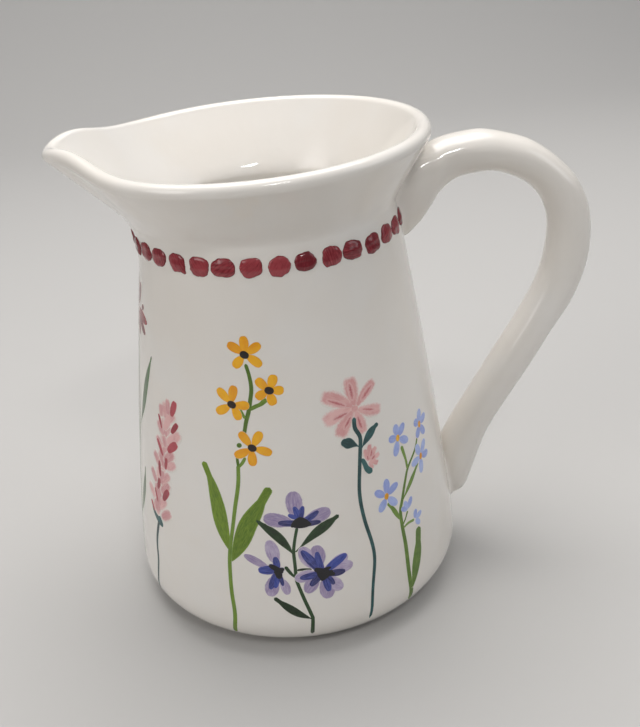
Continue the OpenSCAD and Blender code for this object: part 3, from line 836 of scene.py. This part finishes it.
def paint_forget_me_not(petals, eyes, stems):
    flowers = [
        ((-0.3, 87.6), [(-0.7, 93.4), (4.4, 92), (5.5, 84), (-2.9, 80.8), (-5, 89)]),
        ((15, 86.5), [(16.8, 92.3), (21, 88), (18.7, 81), (12.4, 81.7), (11.4, 89)]),
        ((12.7, 73), [(17.2, 78.4), (18.8, 72), (11.8, 66), (6, 72.4), (10.8, 79)]),
        ((-10.5, 65.6), [(-9.7, 72.8), (-4.2, 68.7), (-5.8, 60.2), (-14.6, 60.2), (-15.4, 69.6)]),
    ]
    for at in both_sides(FORGET_ME_NOT):
        stems.stem(at, [(-2.9, 9.5), (-4, 20.5), (-4, 31), (-4.2, 40), (-4.5, 49.5), (-4.5, 56),
                        (-2.9, 60),
                        (0.8, 68), (3.4, 72.7), (9.6, 78), (12.4, 82)], 2.7, 1.2)
        stems.stem(at, [(2.8, 72), (2.6, 77), (1.2, 83.4)], 1.3, 1.7)
        stems.leaf(at, [(-2.8, 59.6), (2, 64), (6, 67.6), (10.4, 71.4)], 2.4, 1.1, 1.5)
        stems.leaf(at, [(-4.3, 50.4), (-6, 54), (-8.2, 58.6), (-10.4, 62.4)], 2.2, 1.1, 1.7)
        stems.stem(at, [(-4.2, 49), (-2.4, 51), (-0.5, 54)], 0.9)
        stems.stem(at, [(-4, 47.6), (-1, 48.4), (2.8, 48)], 1.0, 1.4)
        stems.leaf(at, [(-3.2, 16.5), (0, 25), (3, 34), (5, 43.6)], 5.6, 0.95, 3.8)
        for centre, tips in flowers:
            for tip in tips:
                away = np.array(tip) - centre
                petals.petal(at, centre + away * 0.12, np.array(tip) + away * 0.06, 3.6, 1.15)
            eyes.blob(at, centre, 3.0, 2.2, 80)
        for start, tip in (((-0.2, 55), (2.8, 59.4)), ((-0.4, 54.6), (-1.8, 59)),
                           ((-0.6, 54.6), (-4, 56.6)),
                           ((3.4, 48.4), (4.4, 52.4)), ((3.8, 48.2), (8.2, 49.6)),
                           ((3.6, 47.6), (6.2, 44.4))):
            petals.petal(at, start, tip, 2.7, 1.1)


def paint_bellflower(petals, marks, stems):
    for at in both_sides(BELLFLOWER):
        stems.stem(at, [(-3, 51), (-4.4, 45), (-5.7, 38), (-5.9, 27.5), (-8.6, 11.5)], 1.9, 1.5)
        stems.petal(at, (-8.6, 56.6), (0.6, 49.6), 4.8, 1.0)
        for start, tip, width in (
                ((6.5, 109), (3.5, 101), 4.6), ((6, 102), (3, 92), 6.4), ((5.5, 95), (3, 84), 6.8),
                ((4.5, 88), (1, 77), 6.6), ((3, 80), (-1, 69), 6.4), ((0.5, 72), (-3, 61), 6.2),
                ((-1.5, 65), (-4, 54), 5.6),
                ((2, 107.4), (2.3, 101), 2.8), ((4, 108), (5.9, 101), 3.0),
                ((6.8, 111), (7.2, 103), 3.0),
                ((11.2, 105.4), (6.6, 100.2), 3.6), ((-0.8, 99.4), (4, 93), 3.4),
                ((8.6, 104.2), (4.2, 95.6), 3.8),
                ((14.4, 98), (4.8, 90.8), 4.2), ((-2.2, 92), (2.8, 87.2), 3.4),
                ((3.2, 94.2), (4.5, 87.8), 3.2),
                ((-5.2, 83.6), (1.2, 77.4), 3.8), ((10.2, 88.6), (2.6, 81.4), 4.2),
                ((11.4, 83.4), (3.4, 79.4), 3.6),
                ((-8, 75), (-2.8, 68.8), 3.6), ((2, 77.8), (0.2, 69.4), 3.6),
                ((7.2, 77.2), (1, 70.8), 3.6),
                ((7, 72.8), (-0.4, 65.8), 4.0), ((-11, 66.4), (-4.6, 60.8), 3.6),
                ((4.4, 64.2), (-2.2, 57.2), 4.2),
                ((-7.2, 59), (-1.6, 54), 3.4), ((7.6, 59), (-0.4, 53.2), 4.0)):
            petals.petal(at, start, tip, width * 1.5, 0.9, full=0.8, soft=0.3)
        for start, tip, width in (
                ((11.4, 110.8), (9, 103.8), 2.6), ((12.6, 101.5), (8.9, 96.4), 2.1),
                ((12.2, 92.6), (6.3, 87.2), 3.0),
                ((5.2, 84), (4.3, 78.4), 1.7), ((6, 69.2), (1.7, 63), 2.6),
                ((0.1, 102), (2.4, 96.2), 1.3),
                ((-1.6, 90.4), (2.5, 84), 1.7), ((-0.2, 80.8), (0.3, 73.5), 1.7),
                ((-0.6, 72.4), (-2.3, 66.8), 2.0),
                ((-4.9, 66.2), (-2.6, 60.2), 1.3), ((-9.2, 58.5), (-6.1, 54.4), 1.3)):
            marks.petal(at, start, tip, width * 1.25, 0.8, full=0.7)


def paint_poppy(petals, stems):
    for at in both_sides(POPPY):
        stems.stem(at, [(-8.5, 133), (-6.5, 122), (-4.5, 108), (-3.5, 92), (-4.5, 75), (-6.5, 55),
                        (-7, 34), (-8, 14)],
                   1.5, 1.6)
        stems.leaf(at, [(-1.5, 88), (3.8, 99), (8, 111), (13.5, 125)], 4.6, 1.0)
        stems.leaf(at, [(-4.5, 78), (-9, 89), (-12, 100), (-17, 112)], 4.6, 1.0)
        stems.leaf(at, [(-6.8, 40), (-1, 50), (3, 60), (5.5, 71)], 4.4, 1.0)
        for start, tip, width in (
                ((-4.6, 141), (-1.2, 151), 4.4), ((-4.6, 139.6), (8.6, 137), 4.2),
                ((-4.4, 138.6), (6.6, 131.6), 4.0),
                ((-5.4, 138), (-2.2, 128.5), 4.4), ((-6.6, 138), (-11.5, 129), 4.4),
                ((-7.4, 139.4), (-18, 136.5), 4.4),
                ((-7.2, 140.6), (-16.5, 146.5), 4.4), ((-6, 141.4), (-8.5, 152), 4.4)):
            petals.petal(at, start, tip, width, 1.2)
        petals.blob(at, (2.4, 142), 3.2, 2.6, 20)


# ---- build ----

CLAY = clay_material()
finish_piece(build_body(), CLAY, "glaze", "body")
finish_piece(build_handle(), CLAY, "glaze", "handle")
finish_piece(build_dots(),
             paint_material("crimson_dots", rgb(0.34, 0.048, 0.058), rgb(0.16, 0.011, 0.018),
                            rgb(0.14, 0.014, 0.018), 0.75),
             "dot_crimson", "dot_border")

# node, slot, light colour, dark colour, colour of the thin edge,
# bristle streaks, softness of the edge, thinness
PAINTS = [
    ("yellow_daisy_petals", "daisy_yellow", (0.90, 0.45, 0.012), (0.82, 0.33, 0.008),
     (0.76, 0.30, 0.01), 0.4, 0.3, 0.0),
    ("yellow_daisy_eyes", "eye_brown", (0.020, 0.011, 0.008), (0.010, 0.007, 0.006),
     (0.20, 0.09, 0.02), 0.3, 0.2, 0.0),
    ("yellow_daisy_stems", "stem_green", (0.17, 0.28, 0.035), (0.08, 0.155, 0.016),
     (0.22, 0.34, 0.06), 0.6, 0.2, 0.0),
    ("yellow_daisy_leaves", "leaf_green", (0.20, 0.31, 0.022), (0.09, 0.165, 0.010),
     (0.22, 0.34, 0.045), 0.85, 0.2, 0.0),
    ("violet_petals", "violet_lilac", (0.45, 0.37, 0.55), (0.27, 0.20, 0.38), (0.36, 0.28, 0.46),
     0.35, 0.6, 0.3),
    ("violet_streaks", "violet_blue", (0.030, 0.062, 0.34), (0.010, 0.014, 0.10),
     (0.12, 0.13, 0.38), 0.6, 0.6, 0.15),
    ("violet_eyes", "eye_black", (0.010, 0.009, 0.012), (0.004, 0.004, 0.006), (0.03, 0.025, 0.07),
     0.3, 0.15, 0.0),
    ("violet_stems", "violet_green", (0.025, 0.065, 0.020), (0.010, 0.025, 0.008),
     (0.06, 0.12, 0.04), 0.5, 0.2, 0.0),
    ("pink_daisy_petals", "pink_pale", (0.80, 0.48, 0.46), (0.68, 0.33, 0.32), (0.78, 0.47, 0.45),
     0.3, 0.8, 0.1),
    ("pink_daisy_streaks", "pink_deep", (0.56, 0.17, 0.18), (0.42, 0.08, 0.10), (0.72, 0.36, 0.35),
     0.5, 0.9, 0.1),
    ("pink_daisy_stems", "teal_green", (0.035, 0.13, 0.13), (0.014, 0.05, 0.052),
     (0.08, 0.22, 0.21), 0.5, 0.25, 0.0),
    ("forget_me_not_petals", "periwinkle", (0.40, 0.49, 0.82), (0.27, 0.34, 0.70),
     (0.40, 0.47, 0.78), 0.5, 0.4, 0.1),
    ("forget_me_not_eyes", "eye_orange", (0.85, 0.48, 0.04), (0.70, 0.28, 0.01), (0.82, 0.56, 0.20),
     0.3, 0.3, 0.0),
    ("forget_me_not_stems", "olive_green", (0.18, 0.30, 0.045), (0.09, 0.17, 0.02),
     (0.26, 0.38, 0.10), 0.5, 0.25, 0.0),
    ("bellflower_petals", "bell_pink", (0.76, 0.43, 0.42), (0.60, 0.27, 0.28), (0.76, 0.49, 0.46),
     0.5, 0.9, 0.15),
    ("bellflower_marks", "bell_crimson", (0.46, 0.07, 0.09), (0.30, 0.03, 0.045),
     (0.56, 0.18, 0.18), 0.6, 0.3, 0.0),
    ("bellflower_stems", "teal_green", (0.035, 0.13, 0.13), (0.014, 0.05, 0.052),
     (0.08, 0.22, 0.21), 0.5, 0.25, 0.0),
    ("poppy_petals", "poppy_crimson", (0.29, 0.016, 0.022), (0.16, 0.007, 0.010),
     (0.30, 0.024, 0.030), 0.6, 0.25, 0.0),
    ("poppy_stems", "poppy_green", (0.07, 0.15, 0.05), (0.02, 0.05, 0.018), (0.12, 0.22, 0.08), 0.8,
     0.25, 0.0),
]
# colours laid over another one, which they fade to
OVER = {"yellow_daisy_eyes": (0.85, 0.42, 0.012), "violet_streaks": (0.36, 0.28, 0.47),
        "violet_eyes": (0.16, 0.13, 0.36), "pink_daisy_streaks": (0.74, 0.40, 0.39),
        "forget_me_not_eyes": (0.34, 0.42, 0.76), "bellflower_marks": (0.68, 0.34, 0.33)}
# the coat that each kind of stroke is painted in, later coats over earlier ones
COATS = {"stems": 0, "leaves": 0, "petals": 1, "streaks": 2, "marks": 2, "eyes": 3}
BRUSHES = {entry[0]: Brush(11 + k, COATS[entry[0].rsplit("_", 1)[1]])
           for k, entry in enumerate(PAINTS)}
# the pink daisy's stem is painted over its petals
BRUSHES["pink_daisy_stems"].coat = 3


def brushes(sprig, *parts):
    return [BRUSHES[sprig + "_" + part] for part in parts]


paint_yellow_daisy(*brushes("yellow_daisy", "petals", "eyes", "stems", "leaves"))
paint_violet(*brushes("violet", "petals", "streaks", "eyes", "stems"))
paint_pink_daisy(*brushes("pink_daisy", "petals", "streaks", "stems"))
paint_forget_me_not(*brushes("forget_me_not", "petals", "eyes", "stems"))
paint_bellflower(*brushes("bellflower", "petals", "marks", "stems"))
paint_poppy(*brushes("poppy", "petals", "stems"))

for node, slot, light, dark, edge, streaks, soft, thin in PAINTS:
    over = rgb(*OVER[node]) if node in OVER else None
    material = paint_material(node, rgb(*light), rgb(*dark), rgb(*edge), streaks, soft, thin, over)
    finish_piece(BRUSHES[node].build("painted_" + node), material, slot, node)

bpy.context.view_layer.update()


# ---- floor, light and camera ----

def floor_material():
    n = Nodes("studio_floor")
    n.put(rgb(0.50, 0.49, 0.475), n.shader.inputs["Base Color"])
    n.shader.inputs["Roughness"].default_value = 0.9
    n.shader.inputs["Specular IOR Level"].default_value = 0.1
    return n.material


def softbox(name, place, target, width, height, power, colour=(1, 1, 1)):
    """An area light that fades towards its edges, as a diffused studio lamp does."""
    light = bpy.data.lights.new(name, "AREA")
    light.shape = "RECTANGLE"
    light.size, light.size_y = width, height
    light.energy = power
    light.color = colour
    light.use_nodes = True
    tree = light.node_tree
    lamp = tree.nodes["Emission"]
    spot = tree.nodes.new("ShaderNodeNewGeometry").outputs["Parametric"]
    middle = tree.nodes.new("ShaderNodeVectorMath")
    middle.operation = "DISTANCE"
    middle.inputs[1].default_value = (0.5, 0.5, 0.0)
    flat = tree.nodes.new("ShaderNodeVectorMath")
    flat.operation = "MULTIPLY"
    flat.inputs[1].default_value = (1, 1, 0)
    fade = tree.nodes.new("ShaderNodeMapRange")
    fade.interpolation_type = "SMOOTHSTEP"
    for socket, value in zip(list(fade.inputs)[1:5], (0.15, 0.5, 1.0, 0.0)):
        socket.default_value = value
    tree.links.new(spot, flat.inputs[0])
    tree.links.new(flat.outputs[0], middle.inputs[0])
    tree.links.new(middle.outputs["Value"], fade.inputs[0])
    tree.links.new(fade.outputs[0], lamp.inputs["Strength"])
    obj = bpy.data.objects.new(name, light)
    place, target = Vector(place), Vector(target)
    obj.location = place
    obj.rotation_euler = (target - place).to_track_quat("-Z", "Y").to_euler()
    bpy.context.scene.collection.objects.link(obj)


def build_floor():
    """A pale sheet on the floor that curves up behind the pitcher."""
    profile = [(-1.6, 0.0)] + [(0.9 + 0.8 * math.sin(t), 0.8 - 0.8 * math.cos(t))
                               for t in np.linspace(0, 1.5, 24)]
    points, faces = [], []
    for y, z in profile:
        points += [(-2600, y * 1000, z * 1000), (2600, y * 1000, z * 1000)]
    for i in range(len(profile) - 1):
        faces.append((2 * i, 2 * i + 1, 2 * i + 3, 2 * i + 2))
    floor = new_mesh("floor_sheet", points, faces)
    floor.data.materials.append(floor_material())


def build_world():
    """A dim room, a little brighter overhead."""
    world = bpy.data.worlds.new("studio")
    world.use_nodes = True
    tree = world.node_tree
    background = tree.nodes["Background"]
    background.inputs["Color"].default_value = rgb(0.94, 0.96, 1.0)
    split = tree.nodes.new("ShaderNodeSeparateXYZ")
    rise = tree.nodes.new("ShaderNodeMapRange")
    for socket, value in zip(list(rise.inputs)[1:5], (-0.1, 1.0, 0.14, 0.45)):
        socket.default_value = value
    tree.links.new(tree.nodes.new("ShaderNodeTexCoord").outputs["Generated"], split.inputs[0])
    tree.links.new(split.outputs["Z"], rise.inputs[0])
    tree.links.new(rise.outputs[0], background.inputs["Strength"])
    bpy.context.scene.world = world


def build_camera():
    yaw, pitch, roll = (math.radians(v) for v in (-6.54, 26.11, -4.51))
    back = Vector((math.sin(yaw) * math.cos(pitch), -math.cos(yaw) * math.cos(pitch),
                   math.sin(pitch)))
    right = (-back).cross(Vector((0, 0, 1))).normalized()
    up = right.cross(-back)
    right, up = (right * math.cos(roll) + up * math.sin(roll),
                 up * math.cos(roll) - right * math.sin(roll))
    place = Vector((-29.1, -395.3, 294.4)) * MM
    camera = bpy.data.objects.new("camera", bpy.data.cameras.new("camera"))
    camera.data.sensor_width = 36.0
    camera.data.lens = 49.5
    camera.data.clip_start = 0.01
    turn = Matrix((right, up, back)).transposed().to_4x4()
    camera.matrix_world = Matrix.Translation(place) @ turn
    bpy.context.scene.collection.objects.link(camera)
    bpy.context.scene.camera = camera


build_floor()
build_world()
softbox("overhead", (0.05, 0.30, 1.30), (0, 0, 0.1), 1.9, 1.5, 46, (1.0, 0.98, 0.96))
softbox("left", (-1.25, -0.75, 0.85), (0, 0, 0.1), 1.3, 1.3, 17, (1.0, 0.97, 0.94))
softbox("right", (1.35, -0.45, 0.75), (0, 0, 0.1), 1.0, 1.2, 6, (0.95, 0.97, 1.0))
softbox("strip", (0.16, -0.95, 1.20), (0, 0, 0.15), 0.42, 0.09, 8)
build_camera()

bpy.context.scene.view_settings.view_transform = "Standard"
